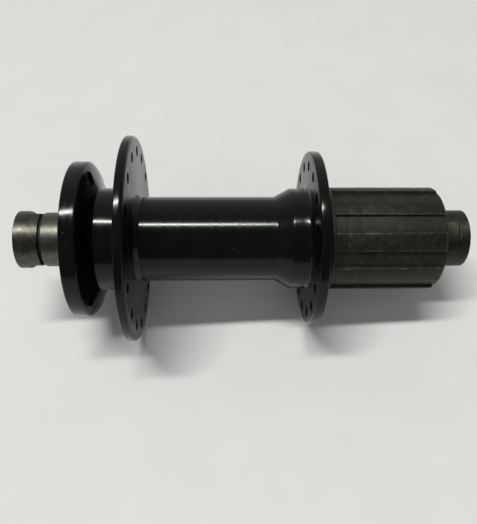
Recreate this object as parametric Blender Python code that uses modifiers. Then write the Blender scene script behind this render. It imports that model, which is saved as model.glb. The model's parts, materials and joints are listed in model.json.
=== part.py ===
"""Rear bicycle hub for a 12 mm thru-axle, 148 mm between the dropouts, with a six-bolt disc mount and a splined freehub.

Units are metres. The axle lies along Y: +Y is the disc side, -Y the drive side, +X forward and +Z up.
Every piece is modelled on a local Z that lies on the axle, so a profile is a list of (radius, station) points in
millimetres, where the station is the distance from the hub's centre towards the disc side.
"""

import math

import bmesh
import bpy
from mathutils import Matrix, Vector

MM = 0.001
FIT = 0.15              # radial gap between pieces that seat in each other
FACE_GAP = 0.1          # axial gap between pieces that bear on each other
OVERCUT = 1.0           # how far a cutter passes the surface that it cuts

SHELL_STEPS = 40        # facets round the shell and the freehub
RING_STEPS = 20         # facets round rings, races and sleeves

# Axle and its ends
HALF_WIDTH = 74.0       # half of the 148 mm over the end faces
BORE_R = 6.1            # clears the 12 mm thru-axle
AXLE_R = 7.35           # runs through the bearings' 15 mm bores
AXLE_WAIST_R = 8.4      # the thicker middle that the shell bearings shoulder on
LOCKNUT_R = 9.5
LOCKNUT_BEVEL = 0.15
LOCKNUT_FLATS = 17.0    # across the wrench flats
DISC_SLEEVE_R = 9.0

# Disc mount
ROTOR_FACE = 55.2       # station of the face that the brake rotor bolts to
ROTOR_MOUNT_R = 25.7
ROTOR_PITCH_R = 22.0
ROTOR_BOLTS = 6
ROTOR_HOLE_R = 2.1      # tapped M5
ROTOR_HOLE_SIDES = 10
ROTOR_HOLE_TURN = -62.0  # degrees from the viewing side to the first bolt hole
PILOT_R = 17.4
PILOT_HEIGHT = 2.0
NECK_R = 17.0

# Shell and spoke flanges
TUBE_R = 14.1
BELL_R = 16.85
DISC_FLANGE_R = 34.0
DISC_FLANGE_OUTER = 38.1
DISC_FLANGE_INNER = 35.1
DISC_SPOKE_PITCH_R = 29.0
DRIVE_FLANGE_R = 29.1
DRIVE_FLANGE_INNER = -21.0
DRIVE_FLANGE_OUTER = -24.2
DRIVE_SPOKE_PITCH_R = 24.5
SPOKES_PER_FLANGE = 16
SPOKE_HOLE_R = 1.3
SPOKE_HOLE_SIDES = 8
SHELL_END = -26.3       # drive-side end of the shell
VIEW_TURN = -128.0      # degrees about the axle to the side that looks at the viewer, up and to the rear
DISC_SPOKE_TURN = -84.4  # degrees from the viewing side to each flange's first spoke hole
DRIVE_SPOKE_TURN = -97.4

# Ratchet
TEETH = 36
TOOTH_TIP_R = 13.1
TOOTH_ROOT_R = 13.9
RING_R = 15.2
RING_OUTBOARD = -24.8
RING_INBOARD = -19.2

# Freehub
LIP_R = 17.9
LIP_INBOARD = -26.7
LIP_OUTBOARD = -28.0
SPLINE_R = 17.2
SPLINE_ROOT_R = 16.1
SPLINES = 9
SPLINE_GROOVE = 20.0    # degrees of each groove between two ridges
KEY_GROOVE = (-66.0, -45.0)  # degrees from the viewing side that bound the one wide groove, which keys sprockets
SPLINE_TURN = 3.0       # degrees from the viewing side to the middle of the first ridge
FREEHUB_END = -63.8
NECK_END = -19.4
PAWL_NECK_R = 12.6
LOCKRING_R = 15.0       # bore tapped for the cassette lockring
LOCKRING_DEPTH = 6.4

# Pawls
PAWLS = 3
PAWL_PIVOT_R = 11.1
PAWL_LAG = 32.0         # degrees from a pawl's nose back to its pivot
PAWL_HEEL_R = 1.3
PAWL_NOSE_R = 13.48
PAWL_LASH = 3.0         # degrees that the driver turns before the nose meets the tooth face
PAWL_OUTBOARD = -24.4
PAWL_INBOARD = -19.6
PAWL_FIT = 0.12

# Ball bearings: (outer radius, ball pitch radius, ball radius, disc-side station, width)
BEARINGS = {
    "disc_bearing": (14.0, 10.8, 1.7, 54.0, 7.0),
    "drive_bearing": (13.0, 10.3, 1.5, -11.9, 7.0),
    "inboard_bearing": (14.0, 10.8, 1.7, -29.1, 7.0),
    "outboard_bearing": (14.0, 10.8, 1.7, -48.7, 7.0),
}
BALLS = 9
RACE_BORE_R = 7.5
SEAL_THICKNESS = 0.5

PALETTE = {
    "black_anodised": ((0.012, 0.013, 0.014), 0.28, 0.6),
    "turned_steel": ((0.42, 0.40, 0.36), 0.32, 1.0),
    "dark_steel": ((0.075, 0.070, 0.060), 0.45, 1.0),
    "silver_aluminium": ((0.62, 0.63, 0.64), 0.35, 1.0),
    "bearing_steel": ((0.55, 0.55, 0.56), 0.18, 1.0),
    "spring_steel": ((0.35, 0.34, 0.33), 0.30, 1.0),
    "black_rubber": ((0.02, 0.02, 0.02), 0.75, 0.0),
    "ball_cage": ((0.60, 0.60, 0.58), 0.30, 1.0),
}


def clear_scene():
    for obj in list(bpy.data.objects):
        bpy.data.objects.remove(obj)


def new_collection(name, hidden=False):
    collection = bpy.data.collections.new(name)
    bpy.context.scene.collection.children.link(collection)
    collection.hide_render = hidden
    return collection


def principled(name):
    colour, roughness, metallic = PALETTE[name]
    material = bpy.data.materials.new(name)
    material.use_nodes = True
    shader = material.node_tree.nodes["Principled BSDF"]
    shader.inputs["Base Color"].default_value = (*colour, 1.0)
    shader.inputs["Roughness"].default_value = roughness
    shader.inputs["Metallic"].default_value = metallic
    material.diffuse_color = (*colour, 1.0)
    return material


def axle_empty(name, offset=(0.0, 0.0)):
    """An empty whose local Z runs along the axle towards the disc side, offset from the axle in its own X and Y."""
    empty = bpy.data.objects.new(name, None)
    turn = Matrix.Rotation(math.radians(-90.0), 4, "X")
    empty.matrix_world = turn @ Matrix.Translation(Vector((*offset, 0.0)) * MM)
    parts.objects.link(empty)
    return empty


def place(mesh, name, parent, material=None, cutter=False):
    obj = bpy.data.objects.new(name, mesh)
    obj.parent = parent
    if cutter:
        cutters.objects.link(obj)
        obj.hide_render = True
        obj.display_type = "WIRE"
    else:
        parts.objects.link(obj)
    if material:
        mesh.materials.append(materials[material])
    return obj


def turned(name, profile, parent, material=None, steps=RING_STEPS, cutter=False):
    """A ring turned from a closed (radius, station) profile that runs down its outer side."""
    mesh = bpy.data.meshes.new(name)
    points = [(radius * MM, 0.0, station * MM) for radius, station in profile]
    edges = [(i, (i + 1) % len(points)) for i in range(len(points))]
    mesh.from_pydata(points, edges, [])
    obj = place(mesh, name, parent, material, cutter)
    screw = obj.modifiers.new("turn", "SCREW")
    screw.angle = math.tau
    screw.steps = screw.render_steps = steps
    screw.use_smooth_shade = True
    screw.use_merge_vertices = True
    screw.merge_threshold = 0.00001
    return obj


def sleeve(name, outer_r, inner_r, top, bottom, parent, material, steps=RING_STEPS):
    profile = [(outer_r, top), (outer_r, bottom), (inner_r, bottom), (inner_r, top)]
    return turned(name, profile, parent, material, steps)


def prism(name, loops, bottom, top, parent, material=None, cutter=False):
    """One straight-sided block between two stations for each closed outline of (x, y) points in millimetres."""
    form = bmesh.new()
    for loop in loops:
        corners = [form.verts.new(Vector((x, y, bottom)) * MM) for x, y in loop]
        base = form.faces.new(corners)
        risen = bmesh.ops.extrude_face_region(form, geom=[base])["geom"]
        lifted = [item for item in risen if isinstance(item, bmesh.types.BMVert)]
        bmesh.ops.translate(form, verts=lifted, vec=(0.0, 0.0, (top - bottom) * MM))
    bmesh.ops.recalc_face_normals(form, faces=form.faces)
    mesh = bpy.data.meshes.new(name)
    form.to_mesh(mesh)
    form.free()
    return place(mesh, name, parent, material, cutter)


def polar(radius, degrees):
    return radius * math.cos(math.radians(degrees)), radius * math.sin(math.radians(degrees))


def arc(radius, start, end, steps, centre=(0.0, 0.0)):
    """Points along an arc from start to end, in degrees, both ends included."""
    points = [polar(radius, start + (end - start) * i / steps) for i in range(steps + 1)]
    return [(centre[0] + x, centre[1] + y) for x, y in points]


def drill_cutter(name, drills, parent):
    """One mesh of separate cylinders. Each drill is (radius, pitch radius, degrees, top, bottom, sides)."""
    form = bmesh.new()
    for radius, pitch_r, degrees, top, bottom, sides in drills:
        x, y = polar(pitch_r, degrees)
        middle = Matrix.Translation(Vector((x, y, (top + bottom) / 2)) * MM)
        bmesh.ops.create_cone(
            form,
            cap_ends=True,
            segments=sides,
            radius1=radius * MM,
            radius2=radius * MM,
            depth=(top - bottom) * MM,
            matrix=middle,
        )
    mesh = bpy.data.meshes.new(name)
    form.to_mesh(mesh)
    form.free()
    return place(mesh, name, parent, cutter=True)


def boolean(obj, other, operation="DIFFERENCE"):
    modifier = obj.modifiers.new(other.name, "BOOLEAN")
    modifier.operation = operation
    modifier.object = other
    modifier.solver = "EXACT"


def view_angle(degrees_down):
    """The angle about the axle of a direction that is given in degrees below the side that faces the viewer."""
    return VIEW_TURN - degrees_down


def build_shell(parent):
    """The one-piece aluminium shell: pilot, disc mount, neck, two spoke flanges, tube and drive-side bell."""
    pilot_top = ROTOR_FACE + PILOT_HEIGHT
    bearing_seat = BEARINGS["disc_bearing"][0] + FIT
    drive_seat = BEARINGS["drive_bearing"][0] + FIT
    disc_shoulder = 46.9
    drive_shoulder = -11.7
    ring_shoulder = RING_INBOARD + FACE_GAP
    outside = [
        (PILOT_R, pilot_top),
        (PILOT_R, ROTOR_FACE),
        (ROTOR_MOUNT_R - 0.4, ROTOR_FACE),
        (ROTOR_MOUNT_R, ROTOR_FACE - 0.4),
        (ROTOR_MOUNT_R, 50.8),
        (23.2, 49.2),
        (NECK_R, 46.9),
        (NECK_R, 38.9),
        (NECK_R + 0.8, DISC_FLANGE_OUTER),
        (DISC_FLANGE_R - 0.6, DISC_FLANGE_OUTER),
        (DISC_FLANGE_R, DISC_FLANGE_OUTER - 0.7),
        (DISC_FLANGE_R, DISC_FLANGE_INNER + 0.7),
        (DISC_FLANGE_R - 0.6, DISC_FLANGE_INNER),
        (TUBE_R + 1.3, DISC_FLANGE_INNER),
        (TUBE_R + 0.3, 34.5),
        (TUBE_R, 33.5),
        (TUBE_R, -10.1),
        (BELL_R, -15.0),
        (BELL_R, -20.2),
        (BELL_R + 0.8, DRIVE_FLANGE_INNER),
        (DRIVE_FLANGE_R - 0.6, DRIVE_FLANGE_INNER),
        (DRIVE_FLANGE_R, DRIVE_FLANGE_INNER - 0.7),
        (DRIVE_FLANGE_R, DRIVE_FLANGE_OUTER + 0.7),
        (DRIVE_FLANGE_R - 0.6, DRIVE_FLANGE_OUTER),
        (17.5, DRIVE_FLANGE_OUTER),
        (17.5, SHELL_END),
    ]
    inside = [
        (15.8, SHELL_END),
        (15.8, RING_OUTBOARD - FACE_GAP),
        (RING_R + FIT, RING_OUTBOARD - FACE_GAP),
        (RING_R + FIT, ring_shoulder),
        (drive_seat, ring_shoulder),
        (drive_seat, drive_shoulder),
        (11.4, drive_shoulder),
        (11.4, disc_shoulder),
        (bearing_seat, disc_shoulder),
        (bearing_seat, pilot_top),
    ]
    shell = turned("hub_shell", outside + inside, parent, "black_anodised", SHELL_STEPS)

    spoke_drills = []
    for k in range(SPOKES_PER_FLANGE):
        step = k * 360.0 / SPOKES_PER_FLANGE
        disc_drill = (DISC_SPOKE_PITCH_R, view_angle(DISC_SPOKE_TURN + step), DISC_FLANGE_OUTER, DISC_FLANGE_INNER)
        drive_drill = (DRIVE_SPOKE_PITCH_R, view_angle(DRIVE_SPOKE_TURN + step), DRIVE_FLANGE_INNER, DRIVE_FLANGE_OUTER)
        for pitch_r, angle, top, bottom in (disc_drill, drive_drill):
            spoke_drills.append((SPOKE_HOLE_R, pitch_r, angle, top + OVERCUT, bottom - OVERCUT, SPOKE_HOLE_SIDES))
    boolean(shell, drill_cutter("spoke_hole_drills", spoke_drills, parent))

    rotor_drills = []
    for k in range(ROTOR_BOLTS):
        angle = view_angle(ROTOR_HOLE_TURN + k * 360.0 / ROTOR_BOLTS)
        rotor_drills.append((ROTOR_HOLE_R, ROTOR_PITCH_R, angle, ROTOR_FACE + OVERCUT, 46.8, ROTOR_HOLE_SIDES))
    boolean(shell, drill_cutter("rotor_bolt_drills", rotor_drills, parent))


def build_axle(parent):
    """The hollow axle, its locknuts and the sleeves that set the bearings' places."""
    end = HALF_WIDTH - 0.8
    shoulder_disc = 46.9
    shoulder_drive = BEARINGS["drive_bearing"][3] + FACE_GAP
    turned(
        "axle",
        [
            (AXLE_R, end), (AXLE_R, shoulder_disc), (AXLE_WAIST_R, shoulder_disc),
            (AXLE_WAIST_R, shoulder_drive), (AXLE_R, shoulder_drive), (AXLE_R, -end),
            (BORE_R, -end), (BORE_R, end),
        ],
        parent, "silver_aluminium",
    )
    bore = AXLE_R + FIT
    disc_bearing_face = BEARINGS["disc_bearing"][3] + FACE_GAP
    sleeve("disc_side_spacer", DISC_SLEEVE_R, bore, 65.4, disc_bearing_face, parent, "turned_steel")
    sleeve("disc_lock_washer", 8.3, bore, 66.2, 65.4 + FACE_GAP, parent, "dark_steel")
    drive_face = BEARINGS["drive_bearing"][3] - BEARINGS["drive_bearing"][4] - FACE_GAP
    inboard_face = BEARINGS["inboard_bearing"][3] + FACE_GAP
    sleeve("ratchet_spacer", 8.3, bore, drive_face, inboard_face, parent, "silver_aluminium")
    inboard_end = BEARINGS["inboard_bearing"][3] - BEARINGS["inboard_bearing"][4] - FACE_GAP
    outboard_face = BEARINGS["outboard_bearing"][3] + FACE_GAP
    sleeve("freehub_inner_spacer", 9.2, bore, inboard_end, outboard_face, parent, "silver_aluminium")
    outboard_end = BEARINGS["outboard_bearing"][3] - BEARINGS["outboard_bearing"][4] - FACE_GAP
    sleeve("drive_side_spacer", 9.1, bore, outboard_end, -62.9, parent, "silver_aluminium")
    sleeve("drive_side_dust_shield", 14.3, 9.3, -57.5, -58.5, parent, "spring_steel")
    build_locknut("disc_end_locknut", 1, 66.3, (65.5, 70.3), "turned_steel", -90.0, parent)
    build_locknut("drive_end_locknut", -1, 63.0, (66.5, 70.5), "dark_steel", -9.0, parent)


def build_locknut(name, side, inner_face, flats, material, flat_turn, parent):
    """An end nut with two wrench flats. side is 1 on the disc side and -1 on the drive side, and flats holds the
    distances from the hub's centre between which they are cut."""
    bore = AXLE_R + FIT
    profile = [
        (bore, side * HALF_WIDTH),
        (LOCKNUT_R - LOCKNUT_BEVEL, side * HALF_WIDTH),
        (LOCKNUT_R, side * (HALF_WIDTH - LOCKNUT_BEVEL)),
        (LOCKNUT_R, side * inner_face),
        (bore, side * inner_face),
    ]
    if side < 0:
        profile.reverse()
    nut = turned(name, profile, parent, material)
    loops = []
    for facing in (view_angle(flat_turn), view_angle(flat_turn + 180.0)):
        across = Vector(polar(1.0, facing))
        along = Vector((-across.y, across.x))
        near, far = LOCKNUT_FLATS / 2, LOCKNUT_R + OVERCUT
        corners = [(near, -far), (far, -far), (far, far), (near, far)]
        loops.append([across * a + along * b for a, b in corners])
    bottom, top = sorted(side * distance for distance in flats)
    boolean(nut, prism(name + "_flats", loops, bottom, top, parent, cutter=True))


def build_bearing(name, inner_parent, outer_parent, cage_parent):
    """A sealed ball bearing: two grooved races, a riveted cage with its balls, and two rubber seals."""
    outer_r, pitch_r, ball_r, top, width = BEARINGS[name]
    middle = top - width / 2
    bottom = top - width
    inner_shoulder = pitch_r - 0.7 * ball_r
    outer_shoulder = pitch_r + 0.7 * ball_r
    inner_groove = pitch_r - ball_r - 0.15
    outer_groove = pitch_r + ball_r + 0.2
    groove_half, floor_half = 0.86 * ball_r, 0.36 * ball_r
    turned(
        name + "_inner_race",
        [
            (inner_shoulder, top), (inner_shoulder, middle + groove_half), (inner_groove, middle + floor_half),
            (inner_groove, middle - floor_half), (inner_shoulder, middle - groove_half), (inner_shoulder, bottom),
            (RACE_BORE_R, bottom), (RACE_BORE_R, top),
        ],
        inner_parent, "bearing_steel",
    )
    turned(
        name + "_outer_race",
        [
            (outer_r, top), (outer_r, bottom), (outer_shoulder, bottom), (outer_shoulder, middle - groove_half),
            (outer_groove, middle - floor_half), (outer_groove, middle + floor_half),
            (outer_shoulder, middle + groove_half), (outer_shoulder, top),
        ],
        outer_parent, "bearing_steel",
    )
    seal_outer, seal_inner = outer_shoulder - 0.2, inner_shoulder + 0.2
    for side, place_top in (("disc_side", top - 0.1), ("drive_side", bottom + 0.1 + SEAL_THICKNESS)):
        sleeve(
            f"{name}_{side}_seal", seal_outer, seal_inner, place_top, place_top - SEAL_THICKNESS,
            outer_parent, "black_rubber",
        )
    ring_half_height, ring_half_width = 0.3 * ball_r, 0.32 * ball_r
    cage = turned(
        name + "_ball_cage",
        [
            (pitch_r + ring_half_width, middle + ring_half_height),
            (pitch_r + ring_half_width, middle - ring_half_height),
            (pitch_r - ring_half_width, middle - ring_half_height),
            (pitch_r - ring_half_width, middle + ring_half_height),
        ],
        cage_parent, "ball_cage",
    )
    form = bmesh.new()
    for k in range(BALLS):
        x, y = polar(pitch_r, k * 360.0 / BALLS + 3.0)
        at = Matrix.Translation(Vector((x, y, middle)) * MM)
        bmesh.ops.create_uvsphere(form, u_segments=8, v_segments=4, radius=ball_r * MM, matrix=at)
    mesh = bpy.data.meshes.new(name + "_balls")
    form.to_mesh(mesh)
    form.free()
    boolean(cage, place(mesh, name + "_balls", cage_parent, cutter=True), "UNION")


def build_ratchet_ring(parent):
    """A hardened ring with saw teeth inside. Each tooth's steep face looks back, against forward rotation."""
    ring = sleeve("ratchet_ring", RING_R, TOOTH_TIP_R - 0.1, RING_INBOARD, RING_OUTBOARD, parent, "dark_steel", 36)
    pitch = 360.0 / TEETH
    outline = []
    for k in range(TEETH):
        face = nose_angle(0) + k * pitch
        outline.append(polar(TOOTH_TIP_R, face))
        outline.append(polar(TOOTH_ROOT_R, face + pitch - 0.4))
    stations = (RING_OUTBOARD - OVERCUT, RING_INBOARD + OVERCUT)
    boolean(ring, prism("ratchet_teeth", [outline], *stations, parent, cutter=True))


def nose_angle(k):
    """Angle about the axle of the tooth face that pawl k stands against."""
    return 20.0 + k * 360.0 / PAWLS


def pivot_of(k):
    return polar(PAWL_PIVOT_R, nose_angle(k) - PAWL_LAG)


def about_axle(k, points):
    """Points given as (radius, degrees from pawl k's tooth face)."""
    return [polar(radius, nose_angle(k) + degrees) for radius, degrees in points]


def heel_arc(k, radius, start, end):
    """An arc round pawl k's pivot, in degrees from the direction that points straight out from the axle."""
    outward = nose_angle(k) - PAWL_LAG
    return arc(radius, outward + start, outward + end, 6, pivot_of(k))


def pawl_outline(k):
    """A round heel, a back that stays under the teeth, a square nose and a hollow belly."""
    back_and_nose = about_axle(k, [(PAWL_NOSE_R, -PAWL_LASH), (12.8, -12.0)])
    belly = about_axle(k, [(10.3, -18.0), (11.5, -PAWL_LASH - 1.3)])
    return back_and_nose + heel_arc(k, PAWL_HEEL_R, 10.0, -170.0) + belly


def pocket_outline(k):
    """Room for the pawl at rest, folded, and in between, and for the spring under it, opened to the outside."""
    outside = about_axle(k, [(14.6, 5.0), (15.4, -14.0), (13.8, -24.0)])
    floor = about_axle(k, [(9.75, -20.0), (9.85, -11.0), (10.2, -1.0)])
    return outside + heel_arc(k, PAWL_HEEL_R + PAWL_FIT, 12.0, -170.0) + floor


def spring_outline(k):
    """A bent leaf of spring steel between the pocket's floor and the pawl's belly."""
    upper = about_axle(k, [(10.08, -20.0), (10.45, -13.0), (11.1, -5.5), (11.2, -3.8)])
    lower = about_axle(k, [(9.90, -20.0), (10.27, -12.8), (10.90, -5.2), (11.0, -3.6)])
    return upper + lower[::-1]


def build_pawls(freehub_parent):
    spring_stations = (PAWL_OUTBOARD + 0.9, PAWL_INBOARD - 0.9)
    for k in range(PAWLS):
        pivot = axle_empty(f"pawl_{k + 1}_pivot", pivot_of(k))
        outline = moved(pawl_outline(k), pivot_of(k), -1)
        prism(f"pawl_{k + 1}", [outline], PAWL_OUTBOARD, PAWL_INBOARD, pivot, "dark_steel")
        prism(f"pawl_spring_{k + 1}", [spring_outline(k)], *spring_stations, freehub_parent, "spring_steel")


def moved(points, offset, sign=1):
    return [(x + sign * offset[0], y + sign * offset[1]) for x, y in points]


def pocket_cutter(parent):
    loops = [pocket_outline(k) for k in range(PAWLS)]
    return prism("pawl_pockets", loops, PAWL_OUTBOARD - 0.15, NECK_END + OVERCUT, parent, cutter=True)


def groove_cutter(parent):
    """The grooves that leave nine ridges on the freehub, one of them narrower than the rest."""
    loops = []
    step = 360.0 / SPLINES
    for k in range(SPLINES):
        middle = SPLINE_TURN + (k + 0.5) * step
        half = SPLINE_GROOVE / 2
        start, end = middle - half, middle + half
        if k == SPLINES - 2:
            start, end = KEY_GROOVE
        inner = arc(SPLINE_ROOT_R, view_angle(start), view_angle(end), 4)
        outer = arc(SPLINE_R + OVERCUT, view_angle(end), view_angle(start), 4)
        loops.append(inner + outer)
    return prism("spline_grooves", loops, FREEHUB_END - OVERCUT, LIP_OUTBOARD, parent, cutter=True)


def build_freehub(parent):
    """The splined driver body, its seal and its circlip. Its inboard neck carries the pawls inside the ratchet ring."""
    seat = BEARINGS["inboard_bearing"][0] + FIT
    web = -28.9
    circlip_top = BEARINGS["outboard_bearing"][3] - BEARINGS["outboard_bearing"][4] - 0.1
    circlip_bottom = circlip_top - 1.1
    thread_end = FREEHUB_END + LOCKRING_DEPTH
    neck_bore = 8.85
    bevel = 0.8
    body = turned(
        "freehub_body",
        [
            (PAWL_NECK_R, NECK_END), (PAWL_NECK_R, LIP_INBOARD), (LIP_R, LIP_INBOARD), (LIP_R, LIP_OUTBOARD),
            (SPLINE_R, LIP_OUTBOARD), (SPLINE_R, FREEHUB_END + bevel), (SPLINE_R - bevel, FREEHUB_END),
            (LOCKRING_R, FREEHUB_END), (LOCKRING_R, thread_end), (seat, thread_end),
            (seat, circlip_bottom - 0.1), (14.8, circlip_bottom - 0.1), (14.8, circlip_top + 0.05),
            (seat, circlip_top + 0.05), (seat, web), (neck_bore, web), (neck_bore, NECK_END),
        ],
        parent, "dark_steel", SHELL_STEPS,
    )
    boolean(body, groove_cutter(parent))
    boolean(body, pocket_cutter(parent))

    inboard_end = BEARINGS["inboard_bearing"][3] - BEARINGS["inboard_bearing"][4] - FACE_GAP
    outboard_face = BEARINGS["outboard_bearing"][3] + FACE_GAP
    sleeve(
        "freehub_outer_spacer", seat - FIT, 12.6, inboard_end, outboard_face, parent, "silver_aluminium",
    )
    sleeve("freehub_rubber_seal", 15.4, PAWL_NECK_R + 0.25, -25.05, -26.15, parent, "black_rubber")

    gap = 16.0
    outer = arc(14.55, view_angle(0.0) + gap, view_angle(0.0) + 360.0 - gap, 24)
    inner = arc(12.9, view_angle(0.0) + 360.0 - gap, view_angle(0.0) + gap, 24)
    prism(
        "freehub_circlip", [outer + inner], circlip_bottom, circlip_top - 0.1, parent, "spring_steel",
    )


def build_dust_seal(parent):
    """The rubber seal pressed into the pilot round the disc-side spacer."""
    seat = BEARINGS["disc_bearing"][0]
    top, bottom = 56.6, BEARINGS["disc_bearing"][3] + 0.25
    turned(
        "disc_side_dust_seal",
        [
            (seat, top), (seat, bottom), (seat - 0.9, bottom), (seat - 0.9, top - 0.9),
            (DISC_SLEEVE_R + 0.2, top - 0.9), (DISC_SLEEVE_R + 0.2, top),
        ],
        parent, "black_rubber",
    )


def main():
    axle_axis = axle_empty("axle_axis")
    shell_axis = axle_empty("shell_axis")
    freehub_axis = axle_empty("freehub_axis")
    build_axle(axle_axis)
    build_shell(shell_axis)
    build_ratchet_ring(shell_axis)
    build_dust_seal(shell_axis)
    build_freehub(freehub_axis)
    build_pawls(freehub_axis)
    for name in BEARINGS:
        outer_axis = shell_axis if name in ("disc_bearing", "drive_bearing") else freehub_axis
        build_bearing(name, axle_axis, outer_axis, axle_empty(name + "_cage_axis"))


clear_scene()
parts = new_collection("rear_hub")
cutters = new_collection("cutters")
materials = {name: principled(name) for name in PALETTE}
main()
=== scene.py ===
"""The look of the rear hub: turned meshes for the pieces that show, procedural materials, light and camera.

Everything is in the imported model's frame: +Y along the axle towards the disc side, +X forward, +Z up.
Profiles are lists of (radius, station, fillet) corners in millimetres. A station is a distance from the
hub's centre towards the disc side. Angles about the axle are in degrees below the side that faces the
viewer.
"""

import json
import math

import bmesh
import bpy
from mathutils import Matrix, Vector


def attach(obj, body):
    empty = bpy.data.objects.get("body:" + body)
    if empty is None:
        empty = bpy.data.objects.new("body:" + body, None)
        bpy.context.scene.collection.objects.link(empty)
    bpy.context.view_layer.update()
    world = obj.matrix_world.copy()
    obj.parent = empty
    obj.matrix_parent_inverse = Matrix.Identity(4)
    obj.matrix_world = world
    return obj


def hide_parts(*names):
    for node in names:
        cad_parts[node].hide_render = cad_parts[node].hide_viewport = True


MM = 0.001

# How finely the meshes are made
ROUND_STEPS = 144
FILLET_STEPS = 4
DRILL_SIDES = 28
SHARP_ANGLE = math.radians(34.0)
STRAIGHT_ANGLE = math.radians(178.0)   # a corner blunter than this gets no fillet

# The view, with angles in degrees
VIEW_ELEVATION = 52.0   # above the axle's horizontal plane
VIEW_YAW = -2.17
VIEW_PITCH = -3.66
VIEW_ROLL = -0.15
VIEW_PLACE = (8.9, 188.8, 4.2)   # millimetres: towards the disc side, towards the viewer, up the picture
FOCAL_LENGTH = 38.31    # millimetres, on a sensor of SENSOR_WIDTH across the picture's longer side
SENSOR_WIDTH = 36.0

# The room: the radiance of its walls, dim on the viewer's side and lighter beyond the object
ROOM_DARK = 0.125
ROOM_LIGHT = 0.46
ROOM_COLOUR = (0.97, 1.0, 0.94, 1.0)
BACKDROP_LIGHT = 0.85
FLOOR_GAP = 0.02     # millimetres below the spoke flanges
FLOOR_RADIUS = 1.4   # metres

# The axle and its nuts. These sizes and those below are in millimetres, and most are the CAD model's
HALF_WIDTH = 74.0
BORE_R = 6.1
AXLE_R = 7.35
AXLE_WAIST_R = 8.4   # the thicker stretch between the two shell bearings
LOCKNUT_R = 9.5
LOCKNUT_FLATS = 17.0
LOCKNUT_BORE_R = 7.5
LOCKNUT_TEETH = 80
TOOTH_DEPTH = 0.28
TOOTH_INNER_R = 8.0

# The shell
ROTOR_FACE = 55.2
ROTOR_MOUNT_R = 25.7
ROTOR_PITCH_R = 22.0
ROTOR_BOLTS = 6
ROTOR_HOLE_R = 2.1
ROTOR_HOLE_TURN = -62.0   # degrees
ROTOR_HOLE_END = 45.6
ROTOR_THREAD_PITCH = 0.8
PILOT_R = 17.4
PILOT_END = 57.2
NECK_R = 17.0
TUBE_R = 14.1
BELL_R = 16.85
BELL_END = -18.0   # where the bell's plain stretch ends and it flares into the flange
DISC_FLANGE_R = 34.0
DISC_FLANGE = (38.1, 35.1)
DISC_SPOKE_PITCH_R = 29.0
DRIVE_FLANGE_R = 29.1
DRIVE_FLANGE = (-21.0, -24.2)
DRIVE_SPOKE_PITCH_R = 24.5
SPOKES_PER_FLANGE = 16
SPOKE_HOLE_R = 1.45   # a little wider than in the CAD model
SPOKE_CHAMFER = 0.35
DISC_SPOKE_TURN = -84.4   # degrees
DRIVE_SPOKE_TURN = -97.4
SHELL_END = -26.3
SHELL_END_R = 17.5
SEAL_SEAT = (15.85, -24.9)
RATCHET_SEAT = (15.35, -19.1)
DRIVE_BEARING_SEAT = (13.15, -11.7)
DISC_BEARING_SEAT = (14.15, 46.9)
SHELL_BORE_R = 11.4

# The freehub
LIP_R = 17.9
LIP = (-26.7, -28.0)
SPLINE_R = 17.2
SPLINE_ROOT_R = 16.1
SPLINES = 9
SPLINE_TURN = 3.0           # degrees to the middle of a ridge
SPLINE_GROOVE = 20.0        # degrees
KEY_GROOVE = (-66.0, -45.0)   # degrees that bound the one wider groove
SPLINE_FLANK = 0.9          # degrees that a groove's side takes from its top edge to its root
RIDGE_EDGE = 0.8            # degrees of a ridge's top that its rounded edge takes
GUIDE_LINES = (-32.3, -36.4)   # fine lines scribed round the ridges
FREEHUB_END = -63.8
MOUTH_R = 15.0
MOUTH_THREAD_R = 14.62
MOUTH_THREAD_TURNS = 6


def polar(radius, degrees_down, station):
    """A point in metres from a radius, an angle below the viewing side and a station."""
    turn = math.radians(-(90.0 - VIEW_ELEVATION) - degrees_down)
    return Vector((radius * math.sin(turn), station, radius * math.cos(turn))) * MM


def rounded(corners):
    """The corners of a closed profile with each fillet replaced by a short arc."""
    points = []
    count = len(corners)
    for i, (radius, station, fillet) in enumerate(corners):
        here = Vector((radius, station))
        before = Vector(corners[i - 1][:2]) - here
        after = Vector(corners[(i + 1) % count][:2]) - here
        angle = before.angle(after)
        if fillet <= 0.0 or angle > STRAIGHT_ANGLE:
            points.append(here)
            continue
        reach = fillet / math.tan(angle / 2)
        reach = min(reach, before.length * 0.49, after.length * 0.49)
        true_fillet = reach * math.tan(angle / 2)
        inwards = (before.normalized() + after.normalized()).normalized()
        centre = here + inwards * (true_fillet / math.sin(angle / 2))
        start = here + before.normalized() * reach - centre
        sweep = start.angle_signed(here + after.normalized() * reach - centre)
        for step in range(FILLET_STEPS + 1):
            turn = Matrix.Rotation(-sweep * step / FILLET_STEPS, 2)
            points.append(centre + turn @ start)
    return points


def new_object(name, form, material, body=None, replaced=(), smooth=True):
    """An object from a bmesh form. It rides on a body and stands for CAD nodes if those are given."""
    bmesh.ops.recalc_face_normals(form, faces=form.faces)
    mesh = bpy.data.meshes.new(name)
    form.to_mesh(mesh)
    form.free()
    obj = bpy.data.objects.new(name, mesh)
    bpy.context.scene.collection.objects.link(obj)
    mesh.materials.append(material)
    if smooth:
        mesh.shade_smooth()
        mesh.set_sharp_from_angle(angle=SHARP_ANGLE)
    if body:
        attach(obj, body)
    if replaced:
        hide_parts(*replaced)
    return obj


def swept(rings):
    """A surface through rings of points. Each ring is closed, and so is the row of rings."""
    form = bmesh.new()
    rows = [[form.verts.new(point) for point in ring] for ring in rings]
    count = len(rows[0])
    for i, one in enumerate(rows):
        two = rows[(i + 1) % len(rows)]
        for j in range(count):
            k = (j + 1) % count
            form.faces.new((one[j], one[k], two[k], two[j]))
    return form


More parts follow.
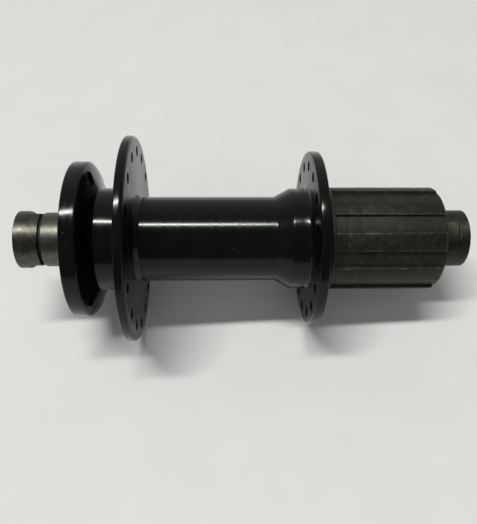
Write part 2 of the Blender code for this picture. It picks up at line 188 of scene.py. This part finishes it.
def turned(name, corners, material, body, replaced):
    """A piece as a lathe makes it: its profile carried round the axle."""
    angles = [360.0 * j / ROUND_STEPS for j in range(ROUND_STEPS)]
    form = swept([[polar(p.x, a, p.y) for a in angles] for p in rounded(corners)])
    return new_object(name, form, material, body, replaced)


def cut(obj, form, name, material):
    """Cuts a closed form out of an object for good. The cut faces get the material."""
    cutter = new_object(name, form, material, smooth=False)
    modifier = obj.modifiers.new(name, "BOOLEAN")
    modifier.operation = "DIFFERENCE"
    modifier.solver = "EXACT"
    modifier.material_mode = "TRANSFER"
    modifier.object = cutter
    bpy.context.view_layer.update()
    result = bpy.data.meshes.new_from_object(obj.evaluated_get(bpy.context.evaluated_depsgraph_get()))
    obj.modifiers.clear()
    obj.data = result
    bpy.data.objects.remove(cutter)
    result.shade_smooth()
    result.set_sharp_from_angle(angle=SHARP_ANGLE)


def add_drill(form, radius, pitch_r, degrees_down, top, bottom, chamfer, thread=0.0):
    """Adds a drill to a form: a cylinder between two stations that widens to a chamfer at each end.

    A thread depth adds grooves all the way down.
    """
    centre = polar(pitch_r, degrees_down, 0.0)
    beyond = 0.6
    wide = radius + chamfer + beyond
    profile = [(wide, top + beyond), (radius + chamfer, top), (radius, top - chamfer)]
    if thread:
        turns = int((top - bottom - 2 * chamfer) / ROTOR_THREAD_PITCH)
        for turn in range(turns):
            start = top - chamfer - turn * ROTOR_THREAD_PITCH
            profile.append((radius + thread, start - ROTOR_THREAD_PITCH / 2))
            profile.append((radius, start - ROTOR_THREAD_PITCH))
    else:
        profile.append((radius, bottom + chamfer))
    profile += [(radius + chamfer, bottom), (wide, bottom - beyond)]
    rings = []
    for r, station in profile:
        ring = []
        for j in range(DRILL_SIDES):
            turn = math.tau * j / DRILL_SIDES
            offset = Vector((r * math.cos(turn), station, r * math.sin(turn))) * MM
            ring.append(form.verts.new(centre + offset))
        rings.append(ring)
    for one, two in zip(rings, rings[1:]):
        for j in range(DRILL_SIDES):
            k = (j + 1) % DRILL_SIDES
            form.faces.new((one[j], one[k], two[k], two[j]))
    form.faces.new(rings[0])
    form.faces.new(rings[-1])


# ---------------------------------------------------------------- materials


class Shade:
    """A material with a Principled shader, and short ways to add the nodes that feed it."""

    def __init__(self, name, roughness, metallic, anisotropic=0.0, ior=1.5):
        self.material = bpy.data.materials.new(name)
        self.material.use_nodes = True
        self.nodes = self.material.node_tree.nodes
        self.links = self.material.node_tree.links
        self.shader = self.nodes["Principled BSDF"]
        self.shader.inputs["Roughness"].default_value = roughness
        self.shader.inputs["Metallic"].default_value = metallic
        self.shader.inputs["IOR"].default_value = ior
        if anisotropic:
            self.shader.inputs["Anisotropic"].default_value = anisotropic
            self.shader.inputs["Anisotropic Rotation"].default_value = 0.25
            tangent = self.nodes.new("ShaderNodeTangent")
            tangent.direction_type = "RADIAL"
            tangent.axis = "Y"
            self.links.new(tangent.outputs["Tangent"], self.shader.inputs["Tangent"])
        self.coordinates = self.nodes.new("ShaderNodeTexCoord")
        self.place = self.coordinates.outputs["Object"]

    def noise(self, scale, detail=3.0, roughness=0.55):
        """Noise in all directions. scale is about its cells per metre."""
        node = self.nodes.new("ShaderNodeTexNoise")
        node.inputs["Scale"].default_value = scale
        node.inputs["Detail"].default_value = detail
        node.inputs["Roughness"].default_value = roughness
        self.links.new(self.place, node.inputs["Vector"])
        return node.outputs["Fac"]

    def rings(self, pitch):
        """Noise that is the same all round the axle, as turning marks are. pitch is in metres."""
        split = self.nodes.new("ShaderNodeSeparateXYZ")
        self.links.new(self.place, split.inputs[0])
        forward = self.math("MULTIPLY", split.outputs["X"], split.outputs["X"])
        upward = self.math("MULTIPLY", split.outputs["Z"], split.outputs["Z"])
        radius = self.math("SQRT", self.math("ADD", forward, upward))
        joined = self.nodes.new("ShaderNodeCombineXYZ")
        self.links.new(split.outputs["Y"], joined.inputs["Y"])
        self.links.new(radius, joined.inputs["X"])
        node = self.nodes.new("ShaderNodeTexNoise")
        node.inputs["Scale"].default_value = 1.0 / pitch
        node.inputs["Detail"].default_value = 4.0
        self.links.new(joined.outputs["Vector"], node.inputs["Vector"])
        return node.outputs["Fac"]

    def end_facing(self):
        """1 on faces that look along the axle, 0 elsewhere."""
        split = self.nodes.new("ShaderNodeSeparateXYZ")
        self.links.new(self.coordinates.outputs["Normal"], split.inputs[0])
        return self.math("GREATER_THAN", self.math("ABSOLUTE", split.outputs["Y"]), 0.97)

    def math(self, operation, first, second=None):
        """The result of a Math node. Each value is a number or a socket."""
        node = self.nodes.new("ShaderNodeMath")
        node.operation = operation
        for socket, value in zip(node.inputs, (first, second)):
            if value is None:
                continue
            if isinstance(value, (int, float)):
                socket.default_value = value
            else:
                self.links.new(value, socket)
        return node.outputs["Value"]

    def ramp(self, fac, stops):
        """A colour from a factor. stops are (position, colour), where one number stands for a grey."""
        node = self.nodes.new("ShaderNodeValToRGB")
        elements = node.color_ramp.elements
        while len(elements) < len(stops):
            elements.new(0.5)
        for element, (position, colour) in zip(elements, stops):
            element.position = position
            element.color = (*colour, 1.0) if isinstance(colour, tuple) else (colour, colour, colour, 1.0)
        self.links.new(fac, node.inputs["Fac"])
        return node.outputs["Color"]

    def mix(self, fac, one, two):
        """A colour between two, each a tuple or a socket."""
        node = self.nodes.new("ShaderNodeMix")
        node.data_type = "RGBA"
        self.links.new(fac, node.inputs["Factor"])
        for socket, value in ((node.inputs["A"], one), (node.inputs["B"], two)):
            if isinstance(value, tuple):
                socket.default_value = (*value, 1.0)
            else:
                self.links.new(value, socket)
        return node.outputs["Result"]

    def vary(self, fac, low, high):
        """A factor of 0 to 1 spread over another range."""
        node = self.nodes.new("ShaderNodeMapRange")
        node.inputs["To Min"].default_value = low
        node.inputs["To Max"].default_value = high
        self.links.new(fac, node.inputs["Value"])
        return node.outputs["Result"]

    def colour(self, value):
        self.links.new(value, self.shader.inputs["Base Color"])

    def specular_tint(self, red, green, blue):
        self.shader.inputs["Specular Tint"].default_value = (red, green, blue, 1.0)

    def roughness(self, value):
        self.links.new(value, self.shader.inputs["Roughness"])

    def bump(self, height, distance):
        """Bumps stack: each call is applied on top of the ones before it. distance is in metres."""
        node = self.nodes.new("ShaderNodeBump")
        node.inputs["Distance"].default_value = distance
        self.links.new(height, node.inputs["Height"])
        socket = self.shader.inputs["Normal"]
        if socket.is_linked:
            self.links.new(socket.links[0].from_socket, node.inputs["Normal"])
        self.links.new(node.outputs["Normal"], socket)


def dust(shade, base, amount):
    """Sparse pale specks on a colour. amount is the share of the surface they may lie on."""
    cells = shade.nodes.new("ShaderNodeTexVoronoi")
    cells.inputs["Scale"].default_value = 1500.0
    shade.links.new(shade.place, cells.inputs["Vector"])
    near = shade.math("LESS_THAN", cells.outputs["Distance"], 0.14)
    patches = shade.math("GREATER_THAN", shade.noise(420.0, 2.0), 1.0 - amount)
    specks = shade.math("MULTIPLY", near, patches)
    return shade.mix(specks, base, (0.12, 0.12, 0.105))


def black_anodised():
    """Gloss black with turning marks. Its end faces are duller than what was polished on the lathe."""
    shade = Shade("black_anodised", 0.2, 0.0, anisotropic=0.5, ior=1.34)
    dark, light = (0.0013, 0.0015, 0.0015), (0.0027, 0.0030, 0.0028)
    tone = shade.ramp(shade.noise(160.0, 4.0), [(0.3, dark), (0.7, light)])
    shade.colour(dust(shade, tone, 0.35))
    shade.specular_tint(0.94, 1.0, 0.95)
    polished = shade.vary(shade.rings(0.0011), 0.09, 0.25)
    shade.roughness(shade.math("MAXIMUM", polished, shade.math("MULTIPLY", shade.end_facing(), 0.27)))
    shade.bump(shade.rings(0.0004), 0.0000012)
    shade.bump(shade.noise(1400.0, 2.0), 0.000003)
    return shade.material


def nickel_steel(name, dark, light, roughness):
    """Satin plated steel with a patchy tone and a turned grain."""
    shade = Shade(name, roughness, 1.0, anisotropic=0.5)
    grain = shade.rings(0.0009)
    tone = shade.ramp(shade.noise(380.0, 7.0, 0.7), [(0.36, dark), (0.64, light)])
    shade.colour(dust(shade, tone, 0.3))
    shade.roughness(shade.vary(grain, roughness - 0.07, roughness + 0.09))
    shade.bump(grain, 0.000004)
    shade.bump(shade.noise(1500.0, 4.0), 0.000012)
    return shade.material


def black_oxide(name, dark, middle, light):
    """Dull oxide on steel: blotchy, dusty and slightly rough to the touch."""
    shade = Shade(name, 0.5, 0.2, ior=1.4)
    tone = shade.ramp(shade.noise(420.0, 8.0, 0.75), [(0.36, dark), (0.50, middle), (0.64, light)])
    shade.colour(dust(shade, tone, 0.46))
    shade.specular_tint(1.0, 1.0, 0.88)
    shade.roughness(shade.vary(shade.noise(500.0, 4.0), 0.36, 0.62))
    shade.bump(shade.noise(1700.0, 5.0, 0.7), 0.00003)
    return shade.material


def plain_metal(name, colour, roughness):
    """Clean turned metal, for the pieces inside."""
    shade = Shade(name, roughness, 1.0, anisotropic=0.3)
    grain = shade.rings(0.0008)
    lighter = tuple(min(1.0, c * 1.25) for c in colour)
    shade.colour(shade.mix(grain, colour, lighter))
    shade.roughness(shade.vary(shade.noise(700.0), roughness * 0.8, roughness * 1.25))
    shade.bump(grain, 0.000003)
    return shade.material


def rubber():
    shade = Shade("seal_rubber", 0.7, 0.0)
    shade.colour(shade.ramp(shade.noise(600.0), [(0.3, 0.010), (0.7, 0.022)]))
    shade.bump(shade.noise(2600.0, 3.0), 0.000015)
    return shade.material


def drill_wall_painted_shade():
    """Painted shade for the drilled holes' walls: near-black and matte, with no reflection."""
    shade = Shade("drill_wall_painted_shade", 0.8, 0.0)
    shade.shader.inputs["Specular IOR Level"].default_value = 0.0
    shade.colour(shade.ramp(shade.noise(900.0), [(0.3, 0.0008), (0.7, 0.0018)]))
    shade.bump(shade.noise(3000.0, 2.0), 0.000008)
    return shade.material


# ---------------------------------------------------------------- pieces


def build_shell(material, painted_hole_shade):
    """The one-piece shell. Its profile runs along the outside to the drive end and back along the bore."""
    shell_profile = [
        (PILOT_R, PILOT_END, 0.3),
        (PILOT_R, ROTOR_FACE, 0.15),
        (ROTOR_MOUNT_R, ROTOR_FACE, 0.35),
        (ROTOR_MOUNT_R, 50.5, 1.2),
        (23.4, 48.95, 3.0),
        (NECK_R, 47.2, 0.5),
        (NECK_R, DISC_FLANGE[0], 0.8),
        (DISC_FLANGE_R, DISC_FLANGE[0], 0.5),
        (DISC_FLANGE_R, DISC_FLANGE[1], 1.3),
        (TUBE_R + 1.3, DISC_FLANGE[1], 0.25),
        (TUBE_R + 0.9, 34.6, 0.3),
        (TUBE_R, 33.6, 0.6),
        (TUBE_R, -10.1, 1.2),
        (BELL_R, -15.1, 0.9),
        (BELL_R, BELL_END, 0.0),
        (BELL_R, DRIVE_FLANGE[0], 2.7),
        (DRIVE_FLANGE_R, DRIVE_FLANGE[0], 0.8),
        (DRIVE_FLANGE_R, DRIVE_FLANGE[1], 0.45),
        (SHELL_END_R, DRIVE_FLANGE[1], 0.4),
        (SHELL_END_R, SHELL_END, 0.2),
        (SEAL_SEAT[0], SHELL_END, 0.15),
        (SEAL_SEAT[0], SEAL_SEAT[1], 0.0),
        (RATCHET_SEAT[0], SEAL_SEAT[1], 0.0),
        (RATCHET_SEAT[0], RATCHET_SEAT[1], 0.0),
        (DRIVE_BEARING_SEAT[0], RATCHET_SEAT[1], 0.0),
        (DRIVE_BEARING_SEAT[0], DRIVE_BEARING_SEAT[1], 0.0),
        (SHELL_BORE_R, DRIVE_BEARING_SEAT[1], 0.0),
        (SHELL_BORE_R, DISC_BEARING_SEAT[1], 0.0),
        (DISC_BEARING_SEAT[0], DISC_BEARING_SEAT[1], 0.0),
        (DISC_BEARING_SEAT[0], PILOT_END, 0.25),
    ]
    shell = turned("shell_turned", shell_profile, material, "shell", ["hub_shell"])
    drills = bmesh.new()
    for k in range(SPOKES_PER_FLANGE):
        step = k * 360.0 / SPOKES_PER_FLANGE
        for pitch_r, turn, flange in (
            (DISC_SPOKE_PITCH_R, DISC_SPOKE_TURN, DISC_FLANGE),
            (DRIVE_SPOKE_PITCH_R, DRIVE_SPOKE_TURN, DRIVE_FLANGE),
        ):
            add_drill(drills, SPOKE_HOLE_R, pitch_r, turn + step, *flange, SPOKE_CHAMFER)
    for k in range(ROTOR_BOLTS):
        turn = ROTOR_HOLE_TURN + k * 360.0 / ROTOR_BOLTS
        add_drill(drills, ROTOR_HOLE_R, ROTOR_PITCH_R, turn, ROTOR_FACE, ROTOR_HOLE_END, 0.3, thread=0.3)
    # The drill walls get the near-black matte colour: painted shade inside the holes.
    cut(shell, drills, "shell_drills", painted_hole_shade)


def mill(obj, name, outline, side, flat_turn, material):
    """Cuts both sides of a nut with a straight bar of the given (radius, station) outline."""
    reach = LOCKNUT_R + 2.0
    form = bmesh.new()
    for turn in (flat_turn, flat_turn + 180.0):
        out = polar(1.0, turn, 0.0).normalized()
        along = Vector((0.0, 1.0, 0.0)).cross(out)
        ends = []
        for across in (-reach, reach):
            ends.append([
                form.verts.new((out * radius + along * across + Vector((0.0, side * station, 0.0))) * MM)
                for radius, station in outline
            ])
        for corners in ends:
            form.faces.new(corners)
        for i in range(len(outline)):
            j = (i + 1) % len(outline)
            form.faces.new((ends[0][i], ends[0][j], ends[1][j], ends[1][i]))
    cut(obj, form, name, material)


def end_nut(name, side, inner_face, flats, flat_turn, edge, material, edge_material, replaced):
    """An end nut: turned, with two wrench flats and fine radial teeth on the face that bites the dropout.

    side is 1 or -1, and stations are counted from the middle towards it. flats are the stations of the
    flats' inner end and outer wall. edge is the width of the worn outer edge.
    """
    end, root = HALF_WIDTH, HALF_WIDTH - TOOTH_DEPTH
    profile = [
        (LOCKNUT_BORE_R, inner_face),
        (LOCKNUT_BORE_R, end - 0.5),
        (LOCKNUT_BORE_R + 0.4, root),
        (TOOTH_INNER_R, root),
        (TOOTH_INNER_R + 0.15, end),
        (LOCKNUT_R - edge, end),
        (LOCKNUT_R - edge * 0.35, end - edge * 0.35),
        (LOCKNUT_R, end - edge),
        (LOCKNUT_R, end - edge - 0.35),
        (LOCKNUT_R, inner_face + 0.1),
        (LOCKNUT_R - 0.1, inner_face),
    ]
    toothed, outer = (4, 5, 6), (5, 6)   # places in the profile that the gaps between teeth cut into
    steps = LOCKNUT_TEETH * 4
    rings = []
    for i, (radius, station) in enumerate(profile):
        ring = []
        for j in range(steps):
            low = TOOTH_DEPTH if i in toothed and j % 4 in (2, 3) else 0.0
            pull = low * 0.6 if i in outer else 0.0
            ring.append(polar(radius - pull, 360.0 * j / steps, side * (station - low)))
        rings.append(ring)
    nut = new_object(name, swept(rings), material, "axle", [replaced])
    near, far = LOCKNUT_FLATS / 2, LOCKNUT_R + 2.0
    start, wall = flats
    flat = [(near, start), (near, wall), (near + 0.45, wall + 0.1), (far, wall + 0.3), (far, start)]
    rounding = [
        (near + 0.6, wall), (near + 0.6, wall + 0.2), (near + 0.8, wall + 0.3), (near + 1.0, wall + 0.5),
        (far, wall + 1.0), (far, wall),
    ]
    mill(nut, name + "_flats", flat, side, flat_turn, material)
    mill(nut, name + "_edges", rounding, side, flat_turn, edge_material)


def spline_outline():
    """(degrees, height share) pairs round the driver: 1 on a ridge and 0 in a groove, with steep flanks."""
    step = 360.0 / SPLINES
    grooves = []
    for k in range(SPLINES):
        middle = SPLINE_TURN + (k + 0.5) * step
        grooves.append((middle - SPLINE_GROOVE / 2, middle + SPLINE_GROOVE / 2))
    grooves[SPLINES - 2] = tuple(angle + 360.0 for angle in KEY_GROOVE)
    edge = [(-RIDGE_EDGE, 1.0), (-0.3, 0.95), (0.0, 0.80), (SPLINE_FLANK * 0.6, 0.08), (SPLINE_FLANK, 0.0)]
    outline = []
    for i, (start, end) in enumerate(grooves):
        outline += [(start + turn, share) for turn, share in edge]
        floor = end - start - 2 * SPLINE_FLANK
        outline += [(start + SPLINE_FLANK + floor * n / 6, 0.0) for n in range(1, 6)]
        outline += [(end - turn, share) for turn, share in reversed(edge)]
        following = grooves[(i + 1) % SPLINES][0] + (360.0 if i == SPLINES - 1 else 0.0)
        ridge = following - end - 2 * RIDGE_EDGE
        outline += [(end + RIDGE_EDGE + ridge * n / 7, 1.0) for n in range(1, 7)]
    return outline


def build_freehub(material, edge_material):
    """The driver's outside as a sweep of its splined outline, closed through its turned inside.

    The outside is a list of (station, ridge radius, root radius). Faces along the ridges' rounded edges get
    the edge material.
    """
    outline = spline_outline()
    neck_r = 12.6
    outside = [(LIP[0], neck_r, neck_r)]
    outside += [
        (station, radius, radius)
        for station, radius in (
            (LIP[0], LIP_R - 0.3), (LIP[0] - 0.3, LIP_R), (LIP[1] + 0.3, LIP_R), (LIP[1], LIP_R - 0.3),
        )
    ]
    lip_rings = len(outside)
    outside += [(LIP[1], SPLINE_R, SPLINE_ROOT_R), (LIP[1] - 0.5, SPLINE_R, SPLINE_ROOT_R)]
    for station in GUIDE_LINES:
        outside += [
            (station + 0.15, SPLINE_R, SPLINE_ROOT_R), (station, SPLINE_R - 0.03, SPLINE_ROOT_R - 0.01),
            (station - 0.15, SPLINE_R, SPLINE_ROOT_R),
        ]
    outside += [
        (FREEHUB_END + before_end, SPLINE_R - ridge_drop, SPLINE_ROOT_R - root_drop)
        for before_end, ridge_drop, root_drop in (
            (1.1, 0.0, 0.0), (0.85, 0.1, 0.0), (0.55, 0.42, 0.0), (0.35, 1.0, 0.0), (0.3, 1.1, 0.0),
            (0.08, 1.1, 0.0), (0.0, 1.18, 0.08),
        )
    ]
    rings = []
    for station, ridge_r, root_r in outside:
        rise = ridge_r - root_r
        rings.append([polar(root_r + rise * share, angle, station) for angle, share in outline])
    mouth = FREEHUB_END + 0.4
    inside = [(MOUTH_R + 0.4, FREEHUB_END), (MOUTH_R, mouth)]
    for turn in range(MOUTH_THREAD_TURNS):
        inside += [
            (MOUTH_R, mouth + turn + 0.15), (MOUTH_THREAD_R, mouth + turn + 0.5),
            (MOUTH_THREAD_R, mouth + turn + 0.6), (MOUTH_R, mouth + turn + 0.95),
        ]
    inside += [
        (MOUTH_R, -57.4), (14.15, -57.4), (14.15, -28.9), (8.85, -28.9), (8.85, -19.4), (neck_r, -19.4),
    ]
    for radius, station in inside:
        rings.append([polar(radius, angle, station) for angle, _ in outline])
    form = swept(rings)
    body = new_object("freehub_splined_body", form, material, "freehub", ["freehub_body"])
    body.data.materials.append(edge_material)
    count = len(outline)
    for i in range(lip_rings, len(outside) - 1):
        for j in range(count):
            lower = min(outline[j][1], outline[(j + 1) % count][1])
            if 0.8 <= lower < 1.0:
                body.data.polygons[i * count + j].material_index = 1


def build_rings(steel, rubber_look, silver, dark):
    """The rings and the axle tube that show at the hub's ends."""
    ring_bore_r = LOCKNUT_BORE_R
    turned(
        "disc_spacer_turned",
        [
            (9.0, 65.4, 0.1), (9.0, 59.2, 0.0), (9.0, 54.1, 0.2), (ring_bore_r, 54.1, 0.1),
            (ring_bore_r, 65.4, 0.1),
        ],
        steel, "axle", ["disc_side_spacer"],
    )
    # The washer gets the dark oxide: its own dark steel, and partly painted shade for the shaded gap it
    # sits in.
    turned(
        "disc_washer_turned",
        [(8.6, 66.2, 0.1), (8.6, 65.5, 0.1), (ring_bore_r, 65.5, 0.05), (ring_bore_r, 66.2, 0.05)],
        dark, "axle", ["disc_lock_washer"],
    )
    turned(
        "disc_dust_seal_moulded",
        [
            (14.0, 56.6, 0.35), (14.0, 54.25, 0.1), (13.1, 54.25, 0.1), (13.1, 55.7, 0.3), (9.2, 55.7, 0.2),
            (9.2, 56.3, 0.15), (10.4, 56.6, 0.3), (12.2, 56.35, 0.4),
        ],
        rubber_look, "shell", ["disc_side_dust_seal"],
    )
    turned(
        "drive_spacer_turned",
        [(9.1, -55.9, 0.15), (9.1, -62.9, 0.2), (ring_bore_r, -62.9, 0.1), (ring_bore_r, -55.9, 0.1)],
        silver, "axle", ["drive_side_spacer"],
    )
    turned(
        "drive_dust_shield_pressed",
        [(14.3, -57.5, 0.3), (14.3, -58.5, 0.3), (9.3, -58.5, 0.2), (9.3, -57.5, 0.2)],
        silver, "axle", ["drive_side_dust_shield"],
    )
    turned(
        "freehub_seal_moulded",
        [(15.4, -25.05, 0.2), (15.4, -26.15, 0.3), (12.85, -26.15, 0.1), (12.85, -25.05, 0.1)],
        rubber_look, "freehub", ["freehub_rubber_seal"],
    )
    turned(
        "axle_turned",
        [
            (AXLE_R, HALF_WIDTH - 0.8, 0.3), (AXLE_R, 46.9, 0.0), (AXLE_WAIST_R, 46.9, 0.0),
            (AXLE_WAIST_R, -11.8, 0.0), (AXLE_R, -11.8, 0.0), (AXLE_R, 0.8 - HALF_WIDTH, 0.3),
            (BORE_R, 0.8 - HALF_WIDTH, 0.3), (BORE_R, HALF_WIDTH - 0.8, 0.3),
        ],
        silver, "axle", ["axle"],
    )


def dress_nodes(frame, looks):
    """Gives every CAD node the look of its slot in the record."""
    slots = {part["node"]: part["material_slot"] for part in frame["record"]["subparts"]}
    for name, node in frame["nodes"].items():
        node.data.materials.clear()
        node.data.materials.append(looks[slots[name]])


# ---------------------------------------------------------------- studio


def add_floor():
    """A round pale floor that both spoke flanges rest on.

    The flanges differ in size, so the axle lies at a slant to it.
    """
    disc_y, drive_y = DISC_FLANGE[1] + 0.6, DRIVE_FLANGE[1] + 0.6
    slope = (DISC_FLANGE_R - DRIVE_FLANGE_R) / (disc_y - drive_y)
    tilt = math.atan(slope)
    height = -(DISC_FLANGE_R - slope * disc_y + FLOOR_GAP)
    form = bmesh.new()
    bmesh.ops.create_circle(form, cap_ends=True, segments=96, radius=FLOOR_RADIUS)
    shade = Shade("floor_paint", 0.7, 0.0)
    shade.colour(shade.ramp(shade.noise(40.0), [(0.3, 0.58), (0.7, 0.60)]))
    floor = new_object("floor", form, shade.material, smooth=False)
    floor.matrix_world = Matrix.Translation((0.0, 0.0, height * MM)) @ Matrix.Rotation(-tilt, 4, "X")


def add_area_light(name, place, size, power, colour=(1.0, 1.0, 1.0), mirrored=True):
    """A light that looks at the hub's centre, with the second size lying along the axle.

    One that isn't mirrored only fills the shadows.
    """
    light = bpy.data.lights.new(name, "AREA")
    light.shape = "RECTANGLE"
    light.size, light.size_y = size
    light.energy = power
    light.color = colour
    obj = bpy.data.objects.new(name, light)
    bpy.context.scene.collection.objects.link(obj)
    back = Vector(place).normalized()
    along = Vector((0.0, 1.0, 0.0))
    along = (along - back * back.dot(along)).normalized()
    turn = Matrix((along.cross(back), along, back)).transposed()
    obj.matrix_world = Matrix.Translation(Vector(place)) @ turn.to_4x4()
    obj.visible_glossy = mirrored


def add_world():
    """A dim room, lighter beyond the object, and a pale backdrop where the camera sees past the floor."""
    world = bpy.data.worlds.new("studio")
    bpy.context.scene.world = world
    world.use_nodes = True
    nodes, links = world.node_tree.nodes, world.node_tree.links
    nodes.clear()
    output = nodes.new("ShaderNodeOutputWorld")
    room = nodes.new("ShaderNodeBackground")
    room.inputs["Color"].default_value = ROOM_COLOUR
    backdrop = nodes.new("ShaderNodeBackground")
    backdrop.inputs["Color"].default_value = (1.0, 1.0, 1.0, 1.0)
    backdrop.inputs["Strength"].default_value = BACKDROP_LIGHT
    path = nodes.new("ShaderNodeLightPath")
    choose = nodes.new("ShaderNodeMixShader")
    direction = nodes.new("ShaderNodeTexCoord")
    split = nodes.new("ShaderNodeSeparateXYZ")
    links.new(direction.outputs["Generated"], split.inputs[0])
    strength = nodes.new("ShaderNodeMapRange")
    strength.interpolation_type = "SMOOTHSTEP"
    strength.inputs["From Min"].default_value = -0.1
    strength.inputs["From Max"].default_value = 0.9
    strength.inputs["To Min"].default_value = ROOM_DARK
    strength.inputs["To Max"].default_value = ROOM_LIGHT
    links.new(split.outputs["X"], strength.inputs["Value"])
    links.new(strength.outputs["Result"], room.inputs["Strength"])
    links.new(path.outputs["Is Camera Ray"], choose.inputs["Fac"])
    links.new(room.outputs["Background"], choose.inputs[1])
    links.new(backdrop.outputs["Background"], choose.inputs[2])
    links.new(choose.outputs["Shader"], output.inputs["Surface"])


def add_camera():
    """Looks down across the axle, with small turns that finish the aim."""
    elevation = math.radians(VIEW_ELEVATION)
    right = Vector((0.0, -1.0, 0.0))
    forward = Vector((math.cos(elevation), 0.0, -math.sin(elevation)))
    up = Vector((math.sin(elevation), 0.0, math.cos(elevation)))
    yaw, pitch, roll = (math.radians(a) for a in (VIEW_YAW, VIEW_PITCH, VIEW_ROLL))
    aim = Matrix((right, forward, up)).transposed()
    for angle, axis in ((yaw, "Z"), (pitch, "X"), (-roll, "Y")):
        aim = aim @ Matrix.Rotation(angle, 3, axis)
    disc_side, towards, upwards = VIEW_PLACE
    place = (right * -disc_side - forward * towards + up * upwards) * MM
    camera = bpy.data.cameras.new("camera")
    camera.lens = FOCAL_LENGTH
    camera.sensor_width = SENSOR_WIDTH
    camera.clip_start = 0.005
    obj = bpy.data.objects.new("camera", camera)
    bpy.context.scene.collection.objects.link(obj)
    axes = Matrix((aim.col[0], aim.col[2], -aim.col[1])).transposed()
    obj.matrix_world = Matrix.Translation(place) @ axes.to_4x4()
    bpy.context.scene.camera = obj


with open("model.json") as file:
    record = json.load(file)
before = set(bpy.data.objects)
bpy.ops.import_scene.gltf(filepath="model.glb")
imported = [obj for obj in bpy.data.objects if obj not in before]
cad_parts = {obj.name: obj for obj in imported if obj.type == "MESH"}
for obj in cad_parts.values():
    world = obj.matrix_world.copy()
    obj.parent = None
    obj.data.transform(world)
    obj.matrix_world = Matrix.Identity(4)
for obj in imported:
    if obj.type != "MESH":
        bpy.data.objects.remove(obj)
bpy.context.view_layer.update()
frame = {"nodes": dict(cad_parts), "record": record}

anodised = black_anodised()
bright_nickel = nickel_steel("bright_nickel", (0.105, 0.103, 0.090), (0.155, 0.152, 0.132), 0.46)
dull_nickel = nickel_steel("dull_nickel", (0.060, 0.058, 0.049), (0.125, 0.121, 0.103), 0.43)
# The drive nut's steel is a darker, slightly rougher copy of the disc nut's plated steel: painted shade.
drive_nut_shaded_nickel = nickel_steel("drive_nut_shaded_nickel", (0.034, 0.033, 0.026), (0.064, 0.062, 0.050), 0.50)
worn = nickel_steel("worn_nickel", (0.16, 0.152, 0.122), (0.26, 0.25, 0.205), 0.40)
oxide = black_oxide(
    "black_oxide_steel", (0.0050, 0.0051, 0.0034), (0.0096, 0.0096, 0.0064), (0.0185, 0.0183, 0.0125),
)
rubbed = black_oxide(
    "rubbed_oxide_edge", (0.0090, 0.0090, 0.0062), (0.030, 0.030, 0.022), (0.080, 0.079, 0.063),
)
silver = plain_metal("turned_aluminium", (0.50, 0.51, 0.52), 0.35)
bearing = plain_metal("bearing_steel", (0.50, 0.50, 0.51), 0.18)
spring = plain_metal("spring_steel", (0.33, 0.32, 0.31), 0.3)
seal = rubber()
hole_shade_paint = drill_wall_painted_shade()

build_shell(anodised, hole_shade_paint)
build_freehub(oxide, rubbed)
end_nut(
    "disc_end_nut_turned", side=1, inner_face=66.3, flats=(65.5, 70.3), flat_turn=-90.0, edge=0.12,
    material=dull_nickel, edge_material=worn, replaced="disc_end_locknut",
)
end_nut(
    "drive_end_nut_turned", side=-1, inner_face=63.0, flats=(66.5, 70.5), flat_turn=-9.0, edge=0.15,
    material=drive_nut_shaded_nickel, edge_material=worn, replaced="drive_end_locknut",
)
build_rings(bright_nickel, seal, silver, oxide)
dress_nodes(frame, {
    "black_anodised": anodised, "turned_steel": dull_nickel, "dark_steel": oxide, "black_rubber": seal,
    "silver_aluminium": silver, "bearing_steel": bearing, "ball_cage": bearing, "spring_steel": spring,
})

add_floor()
add_area_light("overhead_strip", (0.055, 0.36, 1.5), size=(0.10, 0.91), power=23.2, colour=(1.0, 1.0, 0.97))
add_area_light("soft_fill", (-0.9, 0.0, 1.1), size=(1.6, 1.6), power=5.0, mirrored=False)
add_world()
add_camera()

bpy.context.scene.view_settings.view_transform = "Standard"
